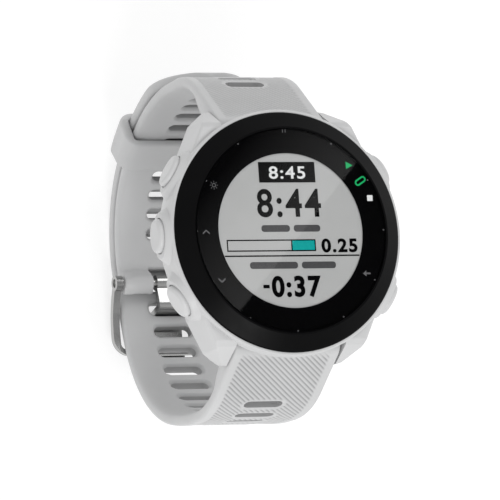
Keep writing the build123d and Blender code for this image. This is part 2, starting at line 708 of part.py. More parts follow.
with BuildPart() as bezel_ring:
    with BuildSketch(Plane.XZ):
        with BuildLine():
            Polyline(
                (DISPLAY_R + 0.3, CASE_TOP), (DISPLAY_R + 0.3, LENS_SEAT), (LENS_R + 0.04, LENS_SEAT),
                (LENS_R + 0.04, LENS_TOP - 0.22), (LENS_R + 0.35, LENS_TOP - 0.22),
                (BEZEL_R - 0.2, BEZEL_LOW + 0.1), (BEZEL_R, BEZEL_LOW - 0.1), (BEZEL_R, CASE_TOP),
                close=True,
            )
        make_face()
    revolve(axis=Axis.Z)
    with BuildSketch(Plane.XY.offset(CASE_TOP)):
        Circle(ANTENNA_OUT + 0.05)
        Circle(ANTENNA_IN - 0.05, mode=Mode.SUBTRACT)
    extrude(amount=0.65, mode=Mode.SUBTRACT)
save(bezel_ring, "bezel_ring")

with BuildPart() as antenna_ring:
    with BuildSketch(Plane.XY.offset(CASE_TOP + 0.02)):
        Circle(ANTENNA_OUT)
        Circle(ANTENNA_IN, mode=Mode.SUBTRACT)
    extrude(amount=0.6)
save(antenna_ring, "antenna_ring")

with BuildPart() as bezel_gasket:
    with BuildSketch(Plane.XY.offset(CASE_TOP - 0.35)):
        Circle(BEZEL_GASKET_R + 0.35)
        Circle(BEZEL_GASKET_R - 0.35, mode=Mode.SUBTRACT)
    extrude(amount=0.35)
save(bezel_gasket, "bezel_gasket")

with BuildPart() as lens_glass:
    with BuildSketch(Plane.XY.offset(LENS_TOP - LENS_T)):
        Circle(LENS_R)
    extrude(amount=LENS_T)
    chamfer(lens_glass.faces().sort_by(Axis.Z)[-1].edges(), 0.15)
save(lens_glass, "lens_glass")

with BuildPart() as lens_adhesive:
    with BuildSketch(Plane.XY.offset(LENS_SEAT)):
        Circle(LENS_R - 0.15)
        Circle(DISPLAY_R + 0.5, mode=Mode.SUBTRACT)
    extrude(amount=LENS_TOP - LENS_T - LENS_SEAT - PRINT_ROOM)
save(lens_adhesive, "lens_adhesive")

with BuildPart() as display_module:
    with BuildSketch(Plane.XY.offset(BACKLIGHT_TOP + SEAM)):
        Circle(DISPLAY_R)
    extrude(amount=DISPLAY_TOP - BACKLIGHT_TOP - SEAM)
save(display_module, "display_module")

with BuildPart() as backlight:
    with BuildSketch(Plane.XY.offset(BACKLIGHT_TOP - 0.35)):
        Circle(DISPLAY_R - 0.2)
    extrude(amount=0.35)
save(backlight, "backlight")

# ======== electronics ========

with BuildPart() as battery:
    with BuildSketch(Plane.XY.offset(BATTERY_Z)):
        with Locations((0, BATTERY_Y)):
            RectangleRounded(BATTERY_LONG, BATTERY_WIDE, 1.5)
    extrude(amount=BATTERY_H)
    fillet(battery.edges().filter_by(Plane.XY), 0.6)
save(battery, "battery")

with BuildPart() as vibration_motor:
    with BuildSketch(Plane.XY.offset(BATTERY_Z + MOTOR_LIFT)):
        with Locations((0, MOTOR_Y)):
            Circle(MOTOR_R)
    extrude(amount=MOTOR_H)
save(vibration_motor, "vibration_motor")

with BuildPart() as inner_chassis:
    with BuildSketch(Plane.XY.offset(BATTERY_Z - TRAY_LIFT)):
        Circle(TRAY_R)
    extrude(amount=TRAY_TOP - BATTERY_Z + TRAY_LIFT)
    with BuildSketch(Plane.XY.offset(BATTERY_Z - TRAY_LIFT)):
        Circle(TRAY_R - TRAY_WALL)
    extrude(amount=TRAY_TOP - BATTERY_Z + TRAY_LIFT - TRAY_WALL + 0.05, mode=Mode.SUBTRACT)
    with BuildSketch(Plane.XY.offset(TRAY_TOP)):
        with PolarLocations(BOARD_SCREW_RING, 3, 90):
            Circle(BOARD_SCREW_R + 0.05)
    extrude(amount=-0.5, mode=Mode.SUBTRACT)
save(inner_chassis, "inner_chassis")

with BuildPart() as main_board:
    with BuildSketch(Plane.XY.offset(TRAY_TOP + SEAM)):
        Circle(TRAY_R)
        with PolarLocations(BOARD_SCREW_RING, 3, 90):
            Circle(BOARD_SCREW_R + 0.05, mode=Mode.SUBTRACT)
    extrude(amount=BOARD_H)
save(main_board, "main_board")

on_board = TRAY_TOP + SEAM + BOARD_H + SEAM
with BuildPart() as board_screws:
    with BuildSketch(Plane.XY.offset(on_board)):
        with PolarLocations(BOARD_SCREW_RING, 3, 90):
            Circle(BOARD_HEAD_R)
    extrude(amount=BOARD_HEAD_H)
    with BuildSketch(Plane.XY.offset(on_board)):
        with PolarLocations(BOARD_SCREW_RING, 3, 90):
            Circle(BOARD_SCREW_R)
    extrude(amount=-BOARD_H - 0.45)
save(board_screws, "board_screws")

with BuildPart() as shield_can:
    with BuildSketch(Plane.XY.offset(on_board)):
        RectangleRounded(CAN_LONG, CAN_WIDE, 0.5)
    extrude(amount=CAN_H)
save(shield_can, "shield_can")

with BuildPart() as display_flex:
    with BuildSketch(Plane.XZ.offset(-FLEX_Y)):
        with Locations((0, (TRAY_TOP + BACKLIGHT_TOP - 0.4) / 2)):
            Rectangle(FLEX_W, BACKLIGHT_TOP - 0.4 - TRAY_TOP)
    extrude(amount=-FLEX_T)
save(display_flex, "display_flex")

with BuildPart() as switch_flex:
    with BuildSketch(Plane.XY.offset(BUTTON_Z - 1.4)):
        Circle(TRAY_R + 0.05 + FLEX_T)
        Circle(TRAY_R + 0.05, mode=Mode.SUBTRACT)
    extrude(amount=2.8)
save(switch_flex, "switch_flex")

# ======== buttons ========

with BuildPart() as tact_switches:
    for angle in BUTTONS.values():
        with BuildSketch(radial(angle, SWITCH_IN)):
            Rectangle(SWITCH_W, SWITCH_H)
        extrude(amount=SWITCH_OUT - SWITCH_IN - SWITCH_TIP)
        with BuildSketch(radial(angle, SWITCH_IN)):
            Circle(0.7)
        extrude(amount=SWITCH_OUT - SWITCH_IN)
save(tact_switches, "tact_switches")

with BuildPart() as button_bushes:
    for angle in BUTTONS.values():
        with BuildSketch(radial(angle, BUSH_IN + 0.01)):
            Circle(BUSH_R - 0.01)
            Circle(STEM_R + 0.05, mode=Mode.SUBTRACT)
        extrude(amount=BUSH_OUT - BUSH_IN)
save(button_bushes, "button_bushes")

with BuildPart() as button_seals:
    for angle in BUTTONS.values():
        with BuildSketch(radial(angle, BUSH_OUT + 0.03)):
            Circle(BUSH_R - 0.02)
            Circle(STEM_R + 0.02, mode=Mode.SUBTRACT)
        extrude(amount=SEAL_OUT - BUSH_OUT)
save(button_seals, "button_seals")

for word, angle in BUTTONS.items():
    with BuildPart() as button:
        with BuildSketch(radial(angle, CAP_IN)):
            Ellipse(CAP_LONG, CAP_TALL)
        extrude(amount=CAP_OUT - CAP_IN)
        crown = button.faces().sort_by(SortBy.DISTANCE)[-1]
        fillet(crown.edges(), CAP_EDGE_R)
        with BuildSketch(radial(angle, STEM_IN)):
            Circle(STEM_R)
        extrude(amount=CAP_IN - STEM_IN)
        with BuildSketch(radial(angle, CLIP_IN)):
            Circle(STEM_R)
            Circle(CLIP_GROOVE_R, mode=Mode.SUBTRACT)
        extrude(amount=CLIP_OUT - CLIP_IN, mode=Mode.SUBTRACT)
    save(button, f"button_{word}")

    with BuildPart() as clip:
        with BuildSketch(radial(angle, CLIP_IN + 0.02)):
            Circle(CLIP_R)
            Circle(CLIP_GROOVE_R + SEAM, mode=Mode.SUBTRACT)
            with Locations((0, -CLIP_R)):
                Rectangle(CLIP_MOUTH, 2 * CLIP_R, mode=Mode.SUBTRACT)
        extrude(amount=CLIP_OUT - CLIP_IN - 0.04)
    save(clip, f"clip_{word}")
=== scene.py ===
"""Looks of the running watch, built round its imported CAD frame. Metres, in the CAD's own frame."""

import json
from math import cos, pi, radians, sin

import bmesh
import bpy
import numpy as np
from mathutils import Matrix, Vector


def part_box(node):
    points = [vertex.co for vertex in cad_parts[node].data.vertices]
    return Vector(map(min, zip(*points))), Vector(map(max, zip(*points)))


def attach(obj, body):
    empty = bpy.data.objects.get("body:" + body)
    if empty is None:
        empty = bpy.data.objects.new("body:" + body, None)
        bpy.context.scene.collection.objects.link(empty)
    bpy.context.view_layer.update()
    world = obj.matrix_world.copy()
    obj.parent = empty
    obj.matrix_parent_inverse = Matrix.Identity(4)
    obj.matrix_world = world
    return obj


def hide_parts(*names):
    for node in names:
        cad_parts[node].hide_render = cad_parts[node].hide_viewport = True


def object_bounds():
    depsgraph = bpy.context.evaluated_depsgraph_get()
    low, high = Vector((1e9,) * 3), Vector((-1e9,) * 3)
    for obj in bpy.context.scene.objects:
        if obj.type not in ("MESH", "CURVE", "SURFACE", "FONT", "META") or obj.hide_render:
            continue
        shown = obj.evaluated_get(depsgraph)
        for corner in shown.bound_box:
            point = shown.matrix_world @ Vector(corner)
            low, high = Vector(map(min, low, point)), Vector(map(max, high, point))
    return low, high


MM = 0.001

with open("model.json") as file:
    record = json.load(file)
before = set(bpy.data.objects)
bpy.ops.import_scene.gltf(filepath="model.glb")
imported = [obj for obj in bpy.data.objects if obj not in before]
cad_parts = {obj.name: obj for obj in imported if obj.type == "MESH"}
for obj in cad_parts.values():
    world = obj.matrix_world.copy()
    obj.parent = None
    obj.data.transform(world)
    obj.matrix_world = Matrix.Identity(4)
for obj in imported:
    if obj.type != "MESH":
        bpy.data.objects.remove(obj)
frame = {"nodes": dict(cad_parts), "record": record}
nodes = frame["nodes"]
cad_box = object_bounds()

# ---- heights and radii read from the frame ----
LENS_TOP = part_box("lens_glass")[1].z
LENS_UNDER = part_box("lens_glass")[0].z
LENS_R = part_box("lens_glass")[1].x
SCREEN_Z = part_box("display_module")[1].z
SCREEN_R = 13.15 * MM
FLOOR_Z = cad_box[0][2] - 0.1 * MM

# ======== camera ========

VIEW_BACK = Vector((-0.3926, -0.1434, 0.9085))  # from the watch towards the camera
VIEW_UP = Vector((0.0081, 0.9872, 0.1593))
VIEW_DISTANCE = 1.0
AIM_RIGHT, AIM_UP = -7.06 * MM, -3.36 * MM  # the picture's centre, from the lens's centre
LENS_MM, SENSOR_MM = 429.7, 36


def make_camera():
    """A long lens from above the 9 o'clock side."""
    back = VIEW_BACK.normalized()
    right = VIEW_UP.cross(back).normalized()
    up = back.cross(right)
    camera = bpy.data.objects.new("camera", bpy.data.cameras.new("camera"))
    place = Vector((0, 0, LENS_TOP)) + AIM_RIGHT * right + AIM_UP * up + VIEW_DISTANCE * back
    rotation = Matrix((right, up, back)).transposed().to_4x4()
    camera.matrix_world = Matrix.Translation(place) @ rotation
    camera.data.lens = LENS_MM
    camera.data.sensor_width = SENSOR_MM
    camera.data.clip_start, camera.data.clip_end = 0.01, 20
    bpy.context.collection.objects.link(camera)
    bpy.context.scene.camera = camera


# ======== materials ========

# ---- the darkest and lightest colour of a moulding ----
CHASSIS_BLACKS = (0.02, 0.02, 0.022), (0.03, 0.03, 0.032)
RUBBER_BLACKS = (0.012, 0.012, 0.012), (0.02, 0.02, 0.02)
SENSOR_BLACKS = (0.004, 0.004, 0.006), (0.008, 0.008, 0.010)
FLEX_AMBERS = (0.38, 0.16, 0.02), (0.45, 0.2, 0.03)

# ---- edges that a bevel softens, in mm ----
SOFT_EDGES = {
    "mid_case": 0.22,
    "back_cover": 0.15,
    "bezel_ring": 0.10,
    "buckle_frame": 0.35,
    "buckle_tang": 0.25,
    "buckle_bar": 0.1,
}
SHARP_EDGE = radians(28)  # an edge that turns by more is softened


def new_material(name):
    """A new material, its node tree and its Principled shader."""
    material = bpy.data.materials.new(name)
    material.use_nodes = True
    tree = material.node_tree
    return material, tree, tree.nodes["Principled BSDF"]


def node(tree, kind, **values):
    """Adds a shader node; values are input sockets by name, or attributes."""
    made = tree.nodes.new(kind)
    for key, value in values.items():
        if key in made.inputs:
            made.inputs[key].default_value = value
        else:
            setattr(made, key, value)
    return made


def noise(tree, scale, detail=3.0, roughness=0.55):
    """Noise in the piece's own coordinates, scale in features per metre."""
    place = tree.nodes.new("ShaderNodeTexCoord")
    made = node(tree, "ShaderNodeTexNoise", Scale=scale, Detail=detail, Roughness=roughness)
    tree.links.new(place.outputs["Object"], made.inputs["Vector"])
    return made.outputs["Fac"]


def ramp(tree, value, stops):
    """Maps a value through a colour ramp; stops are (position, colour or grey)."""
    made = tree.nodes.new("ShaderNodeValToRGB")
    while len(made.color_ramp.elements) < len(stops):
        made.color_ramp.elements.new(0.5)
    for element, (position, colour) in zip(made.color_ramp.elements, stops):
        element.position = position
        element.color = (*colour, 1) if isinstance(colour, tuple) else (colour, colour, colour, 1)
    tree.links.new(value, made.inputs["Fac"])
    return made.outputs["Color"]


def bump(tree, shader, value, depth, strength=1.0, under=None):
    """Bumps a shader by a value; depth in metres."""
    made = node(tree, "ShaderNodeBump", Strength=strength, Distance=depth)
    tree.links.new(value, made.inputs["Height"])
    if under:
        tree.links.new(under, made.inputs["Normal"])
    tree.links.new(made.outputs["Normal"], shader.inputs["Normal"])
    return made.outputs["Normal"]


def moulded(name, dark, light, rough, grain, grain_depth, **sockets):
    """Moulded plastic or silicone: soft colour drift, uneven gloss and a fine grain."""
    material, tree, shader = new_material(name)
    drift = noise(tree, 90, 4)
    tree.links.new(ramp(tree, drift, [(0.3, dark), (0.7, light)]), shader.inputs["Base Color"])
    patch = noise(tree, 260, 5)
    tree.links.new(ramp(tree, patch, [(0.25, rough[0]), (0.75, rough[1])]), shader.inputs["Roughness"])
    fine = bump(tree, shader, noise(tree, grain, 2), grain_depth)
    bump(tree, shader, noise(tree, 300, 2), 6e-6, 0.5, fine)
    for key, value in sockets.items():
        shader.inputs[key].default_value = value
    return material


def metal(name, colour, rough, scratch=(1, 1, 1), depth=1e-6):
    """Turned or polished metal: fine drawn scratches and uneven gloss."""
    material, tree, shader = new_material(name)
    shader.inputs["Metallic"].default_value = 1
    place = tree.nodes.new("ShaderNodeTexCoord")
    stretch = node(tree, "ShaderNodeMapping", Scale=scratch)
    tree.links.new(place.outputs["Object"], stretch.inputs["Vector"])
    lines = node(tree, "ShaderNodeTexNoise", Scale=4000, Detail=2)
    tree.links.new(stretch.outputs["Vector"], lines.inputs["Vector"])
    shade = tuple(c * 0.93 for c in colour)
    drift = ramp(tree, noise(tree, 200, 3), [(0.3, shade), (0.7, colour)])
    tree.links.new(drift, shader.inputs["Base Color"])
    gloss = ramp(tree, lines.outputs["Fac"], [(0.3, rough[0]), (0.7, rough[1])])
    tree.links.new(gloss, shader.inputs["Roughness"])
    bump(tree, shader, lines.outputs["Fac"], depth)
    return material


def clear_lens(name):
    """Coated glass: see-through, with a faint mirror that grows at a slant."""
    material, tree, shader = new_material(name)
    tree.nodes.remove(shader)
    through = node(tree, "ShaderNodeBsdfTransparent", Color=(0.985, 0.985, 0.985, 1))
    gloss = node(tree, "ShaderNodeBsdfGlossy", Color=(1, 1, 1, 1), Roughness=0.04)
    smear = ramp(tree, noise(tree, 70, 3), [(0.35, 0.008), (0.65, 0.016)])
    tree.links.new(smear, gloss.inputs["Roughness"])
    slant = node(tree, "ShaderNodeLayerWeight", Blend=0.5)
    share = ramp(tree, slant.outputs["Facing"], [(0.0, 0.022), (0.35, 0.035), (0.65, 0.12), (1.0, 0.5)])
    mix = tree.nodes.new("ShaderNodeMixShader")
    tree.links.new(share, mix.inputs["Fac"])
    tree.links.new(through.outputs["BSDF"], mix.inputs[1])
    tree.links.new(gloss.outputs["BSDF"], mix.inputs[2])
    tree.links.new(mix.outputs["Shader"], tree.nodes["Material Output"].inputs["Surface"])
    return material


def satin_black(name):
    """Black moulding with a low, soft shine."""
    colours = (0.002, 0.002, 0.0022), (0.003, 0.003, 0.0033)
    material = moulded(name, *colours, (0.3, 0.42), 16000, 1e-6)
    material.node_tree.nodes["Principled BSDF"].inputs["Specular IOR Level"].default_value = 0.06
    return material


def screen_film(name):
    """The reflective display: matt pale grey under a thin smooth film."""
    colours = (0.49, 0.495, 0.492), (0.52, 0.525, 0.522)
    film = {"Coat Weight": 1, "Coat Roughness": 0.03, "Coat IOR": 1.8}
    return moulded(name, *colours, (0.6, 0.7), 16000, 1e-6, **film)


def flat_ink(name, colour):
    """Printed ink or a screen segment, with a slight speckle."""
    material, tree, shader = new_material(name)
    shade = tuple(c * 0.9 for c in colour)
    speckle = ramp(tree, noise(tree, 2500, 2), [(0.3, shade), (0.7, colour)])
    tree.links.new(speckle, shader.inputs["Base Color"])
    shader.inputs["Roughness"].default_value = 0.6
    shader.inputs["Specular IOR Level"].default_value = 0
    return material


def circuit(name):
    """Solder mask with paler tracks."""
    material, tree, shader = new_material(name)
    place = tree.nodes.new("ShaderNodeTexCoord")
    mask = {"Color1": (0.01, 0.12, 0.05, 1), "Color2": (0.02, 0.17, 0.07, 1)}
    tracks = node(tree, "ShaderNodeTexBrick", Scale=600, Mortar=(0.03, 0.25, 0.1, 1), **mask)
    tree.links.new(place.outputs["Object"], tracks.inputs["Vector"])
    tree.links.new(tracks.outputs["Color"], shader.inputs["Base Color"])
    shader.inputs["Roughness"].default_value = 0.35
    bump(tree, shader, tracks.outputs["Fac"], 5e-6)
    return material


def paint_groove_shade(material):
    """Painted shade: darkens the base colour where the mesh says a groove is."""
    tree = material.node_tree
    base = tree.nodes["Principled BSDF"].inputs["Base Color"]
    plain = base.links[0].from_socket
    depth = node(tree, "ShaderNodeAttribute", attribute_name="groove")
    mix = node(tree, "ShaderNodeMix", data_type="RGBA", blend_type="MULTIPLY")
    colour_in = [i for i in mix.inputs if i.type == "RGBA"]
    tree.links.new(depth.outputs["Fac"], mix.inputs["Factor"])
    tree.links.new(plain, colour_in[0])
    # painted groove shade: the colour multiplied in at a groove's full depth
    colour_in[1].default_value = (0.52, 0.52, 0.525, 1)
    tree.links.new([o for o in mix.outputs if o.type == "RGBA"][0], base)


def cool(level):
    """A barely blue grey."""
    return level, level + 0.002, level + 0.005


def make_materials():
    """One finish for each of the record's material slots."""
    silicone = moulded("silicone", cool(0.52), cool(0.56), (0.46, 0.60), 9000, 4e-6)
    silicone.node_tree.nodes["Principled BSDF"].inputs["Sheen Weight"].default_value = 0.1
    # painted shade in the rib grooves
    paint_groove_shade(silicone)
    return {
        "strap_silicone": silicone,
        "case_polymer": moulded("polymer", cool(0.54), cool(0.58), (0.36, 0.5), 14000, 3e-6),
        "button_polymer": moulded("button", cool(0.55), cool(0.59), (0.34, 0.46), 12000, 2e-6),
        "back_polymer": moulded("back", cool(0.50), cool(0.54), (0.42, 0.55), 9000, 5e-6),
        "bezel_black": satin_black("bezel"),
        "chassis_black": moulded("chassis", *CHASSIS_BLACKS, (0.5, 0.7), 6000, 6e-6),
        "seal_rubber": moulded("seal", *RUBBER_BLACKS, (0.6, 0.8), 5000, 6e-6),
        "sensor_dark": moulded("sensor", *SENSOR_BLACKS, (0.04, 0.09), 3000, 3e-7),
        "display": screen_film("screen"),
        "lens": clear_lens("lens"),
        "buckle_steel": metal("buckle_steel", (0.44, 0.44, 0.435), (0.14, 0.26), (1, 0.05, 0.05)),
        "screw_steel": metal("turned_steel", (0.55, 0.55, 0.55), (0.22, 0.36), (0.1, 1, 1), 2e-6),
        "contact_gold": metal("gold", (0.85, 0.60, 0.25), (0.12, 0.22)),
        "piezo_brass": metal("brass", (0.75, 0.56, 0.28), (0.2, 0.35)),
        "antenna_metal": metal("antenna", (0.55, 0.50, 0.42), (0.25, 0.4)),
        "can_metal": metal("tin", (0.60, 0.60, 0.61), (0.28, 0.45), (1, 0.1, 1)),
        "cell_foil": metal("foil", (0.55, 0.56, 0.57), (0.3, 0.5), (1, 1, 1), 2e-5),
        "flex_amber": moulded("flex", *FLEX_AMBERS, (0.25, 0.35), 3000, 2e-6),
        "circuit_green": circuit("circuit"),
    }


MATERIALS = make_materials()
# Painted shade: a darker silicone for the walls of the slots and the notch.
RECESS_PAINTED_SHADE = moulded("silicone_recess_painted_shade", (0.34, 0.34, 0.343), (0.38, 0.38, 0.383), (0.5, 0.65), 9000, 4e-6)
INK_BLACK = flat_ink("ink_black", (0.0022, 0.0022, 0.0025))


def dress_nodes():
    """Gives every CAD node its finish and softens its moulded or turned edges."""
    slots = {row["node"]: row["material_slot"] for row in frame["record"]["subparts"]}
    for name, piece in nodes.items():
        piece.data.materials.clear()
        piece.data.materials.append(MATERIALS[slots[name]])
        if name == "lens_glass":
            piece.data.materials.append(INK_BLACK)
            for face in piece.data.polygons:
                level = abs(face.normal.z) > 0.9
                face.material_index = 0 if level else 1
        if name in SOFT_EDGES:
            edge = piece.modifiers.new("soft edges", "BEVEL")
            edge.width = SOFT_EDGES[name] * MM
            edge.segments = 3
            edge.limit_method = "ANGLE"
            edge.angle_limit = SHARP_EDGE
            edge.harden_normals = True


# ======== strap shape: the side view's route, a point is (y, z) in mm ========

PIN_Y, PIN_Z, BOSS_R = 18.4, 4.3, 2.3
STRAP_T, LAYER_GAP = 2.3, 0.15
LAYER = STRAP_T + LAYER_GAP
UPPER_SLOPE, UPPER_HIP_R = radians(51), 14.5
LOWER_SLOPE, LOWER_HIP_R = radians(57), 20.0
BOTTOM_Y, BOTTOM_Z, BOTTOM_R, BOTTOM_TURN = 5.7, -48.5, 22.0, radians(38)
RAMP_SLOPE, RAMP_LENGTH = radians(15), 10.1
KEEPER_R = 34.9
HEEL_R, HEEL_TURN = 25.0, radians(63)
FLANK_R, FLANK_TURN = 55.0, radians(12)
TIP_SHORT = 2.0
BAR_AT, END_BOSS_R = 8.45, 2.0
HALF_WIDE, HALF_NARROW = 9.75, 9.0
TAPER_START_Z, TAPER_END_Z, TIP_CORNER_R = -2.0, -24.0, 8.5
SLOT_STRAIGHT, SLOT_R, SLOT_PITCH = 2.5, 1.3, 4.4
NOTCH_HALF, NOTCH_REACH, TANG_SLOT_FROM_BAR = 3.7, 2.8, 3.9
UPPER_SLOTS, UPPER_FIRST_SLOT, LOWER_PLAIN, TIP_PLAIN = 14, 1.8, 3.0, 6.5
KEEPER_WALL, KEEPER_PLAY, KEEPER_EDGE_R = 1.4, 0.1, 2.6
KEEPER_CENTRE, KEEPER_HALF_ANGLE = radians(52), radians(6.2)
KEEPER_HALF_IN, KEEPER_HALF_OUT = 9.15, 10.9
KEEPER_BORE_R, KEEPER_RIM_R = 0.5, 0.62  # the corners of its opening, and the rounding of its rims

# ---- fine shape of the silicone ----
STEP = 0.2  # grid spacing
RIB_STEPS = 5  # grid steps across one rib
RIB_DEPTH = 0.2
RIB_BORDER, RIB_LIP = 1.5, 0.22  # plain margin at the edges and round the slots
RIB_START, RIB_EASE = 2.6, 2.5  # from the strap's end at the pin to the first rib, and to full depth
RIB_SINK = 0.05  # the ribs' tops, below the plain margin
RIB_FADE, LIP_FADE = 0.3, 0.25  # how soon the ribs start after an edge and a slot
EDGE_R, THIN_SHARE = 0.45, 0.45  # the edges' rounding, and its most as a share of the thickness
LIP_OUT, LIP_OUT_R = 0.28, 0.2  # a slot's rolled lip: how far it narrows the mouth, and its rounding
LIP_IN, LIP_IN_R = 0.25, 0.5
SHOULDER, SHOULDER_DROP = 3.2, 0.95  # the inner face rolls away towards the strap's sides
SHOULDER_START, SHOULDER_EASE = 9, 6  # where along the strap that begins, and how soon it is full
FAR = 1e3  # further than any edge
SKIN_CREASE, BAND_CREASE = 55, 70  # degrees
WELD = 0.004 * MM


def move(start, heading, length, radius):
    """The point and heading after one tangent line (radius 0) or arc (positive turns left)."""
    turn = length / radius if radius else 0.0
    reach = 2 * radius * sin(turn / 2) if radius else length
    along = heading + turn / 2
    return (start[0] + reach * cos(along), start[1] + reach * sin(along)), heading + turn


def chain(start, heading, steps):
    """Steps are (length, radius). Returns each one's start, heading, length and radius."""
    pieces = []
    for length, radius in steps:
        pieces.append((start, heading, length, radius))
        start, heading = move(start, heading, length, radius)
    return pieces


def spot(route, distance, inset=0.0):
    """The point at a distance along a route, moved to its left by inset."""
    for start, heading, length, radius in route:
        if distance <= length + 1e-9:
            break
        distance -= length
    point, heading = move(start, heading, distance, radius)
    return np.array((point[0] - inset * sin(heading), point[1] + inset * cos(heading)))


def total(steps):
    return sum(length for length, _ in steps)


def lug_steps(point, angle, hip):
    """The rise and the slope that lead from the loop's side up to a lug."""
    top_y, top_z = PIN_Y + BOSS_R * sin(angle), PIN_Z + BOSS_R * cos(angle)
    slope = (abs(point[0]) - top_y - hip * (1 - sin(angle))) / cos(angle)
    return top_z - point[1] - hip * cos(angle) - slope * sin(angle), slope


def make_routes():
    """The far route runs from the buckle to the 12 o'clock lug, the near one to the 6 o'clock lug."""
    back = (BOTTOM_Y - BOTTOM_R * sin(RAMP_SLOPE), BOTTOM_Z + BOTTOM_R * (1 - cos(RAMP_SLOPE)))
    start = (back[0] - RAMP_LENGTH * cos(RAMP_SLOPE), back[1] + RAMP_LENGTH * sin(RAMP_SLOPE))
    far = [
        (RAMP_LENGTH, 0),
        (BOTTOM_R * (RAMP_SLOPE + BOTTOM_TURN), BOTTOM_R),
        (KEEPER_R * (pi / 2 - BOTTOM_TURN), KEEPER_R),
    ]
    tip = total(far) - TIP_SHORT
    side = spot(chain(start, -RAMP_SLOPE, far), total(far), LAYER)
    rise, far_slope = lug_steps(side, UPPER_SLOPE, UPPER_HIP_R)
    hip = UPPER_HIP_R + LAYER
    far += [(rise, 0), (hip * (pi / 2 - UPPER_SLOPE), hip), (far_slope, 0)]
    near = [(HEEL_R * HEEL_TURN, -HEEL_R), (FLANK_R * FLANK_TURN, -FLANK_R)]
    side = spot(chain(start, pi - RAMP_SLOPE, near), total(near))
    rise, near_slope = lug_steps(side, LOWER_SLOPE, LOWER_HIP_R)
    near += [(rise, 0), (LOWER_HIP_R * (pi / 2 - LOWER_SLOPE), -LOWER_HIP_R), (near_slope, 0)]
    return (
        (chain(start, -RAMP_SLOPE, far), total(far), far_slope, tip),
        (chain(start, pi - RAMP_SLOPE, near), total(near), near_slope),
    )


(far_route, far_length, far_slope, tip_at), (near_route, near_length, near_slope) = make_routes()


def quarter(centre, radius, first, last):
    """Points of a quarter circle from direction first to direction last."""
    count = int(radius * pi / 2 / STEP) + 1
    angles = np.linspace(0, pi / 2, count, endpoint=False)
    first, last = np.array(first), np.array(last)
    return [np.array(centre) + radius * (first * cos(a) + last * sin(a)) for a in angles]


def lug_end(side):
    """The rounded end round a lug pin and the slope below it: outer and inner points."""
    angle = UPPER_SLOPE if side > 0 else LOWER_SLOPE
    up = np.array((-side * cos(angle), sin(angle)))
    out = np.array((side * sin(angle), cos(angle)))
    pin = np.array((side * PIN_Y, PIN_Z))
    outer, inner = quarter(pin, BOSS_R, up, out), quarter(pin, BOSS_R, up, -out)
    if side > 0:
        route, length, slope, inset, deep = far_route, far_length, far_slope, LAYER, LAYER + STRAP_T
    else:
        route, length, slope, inset, deep = near_route, near_length, near_slope, 0.0, -STRAP_T
    low_out, low_in = spot(route, length - slope, inset), spot(route, length - slope, deep)
    for k in np.linspace(0, 1, int(slope / STEP), endpoint=False):
        outer.append((pin + BOSS_R * out) * (1 - k) + low_out * k)
        inner.append((pin - BOSS_R * out) * (1 - k) + low_in * k)
    return outer, inner


def spaced(first, last):
    """Distances from first to last, about one grid step apart."""
    return np.linspace(first, last, int(abs(last - first) / STEP) + 1)


def normals(points, toward):
    """Unit normals of a polyline, on the side of the given nearby points."""
    tangent = np.gradient(points, axis=0)
    normal = np.stack([tangent[:, 1], -tangent[:, 0]], 1)
    normal /= np.linalg.norm(normal, axis=1, keepdims=True) + 1e-12
    middle = len(points) // 2
    return normal if np.dot(normal[middle], toward[middle] - points[middle]) > 0 else -normal


def run_along(points):
    """Each point's distance along a polyline from its start."""
    return np.concatenate([[0], np.cumsum(np.linalg.norm(np.diff(points, axis=0), axis=1))])


def ease(value):
    """Smooth step from 0 to 1."""
    value = np.clip(value, 0, 1)
    return value * value * (3 - 2 * value)


def round_over(distance, radius):
    """How far a surface drops at a distance from its rounded edge."""
    near = np.clip(radius - distance, 0, radius)
    return radius - np.sqrt(radius * radius - near * near)


def hole_field(holes, s, x, length):
    """The distance of each grid point from the nearest hole's outline, and whether that hole has a lip."""
    hole = np.full(s.shape, FAR)
    lip = np.zeros(s.shape)
    for kind, at in holes:
        if kind == "notch":
            away = np.maximum(np.abs(x) - NOTCH_HALF, length - at - s)
        else:
            away = np.hypot(np.maximum(np.abs(x) - SLOT_STRAIGHT, 0), s - at) - SLOT_R
        lip = np.where(away < hole, kind == "slot", lip)
        hole = np.minimum(hole, away)
    return hole, lip


def open_faces(hole):
    """Which faces stay, outside every hole, and which points are on a hole's rim."""
    rows, columns = hole.shape
    kept = (hole[:-1, :-1] + hole[1:, :-1] + hole[:-1, 1:] + hole[1:, 1:]) / 4 > 0
    touched = np.zeros((rows, columns), int)
    dropped = np.zeros((rows, columns), int)
    for di in (0, 1):
        for dj in (0, 1):
            window = (slice(di, rows - 1 + di), slice(dj, columns - 1 + dj))
            touched[window] += kept
            dropped[window] += ~kept
    return kept, (touched > 0) & (dropped > 0)


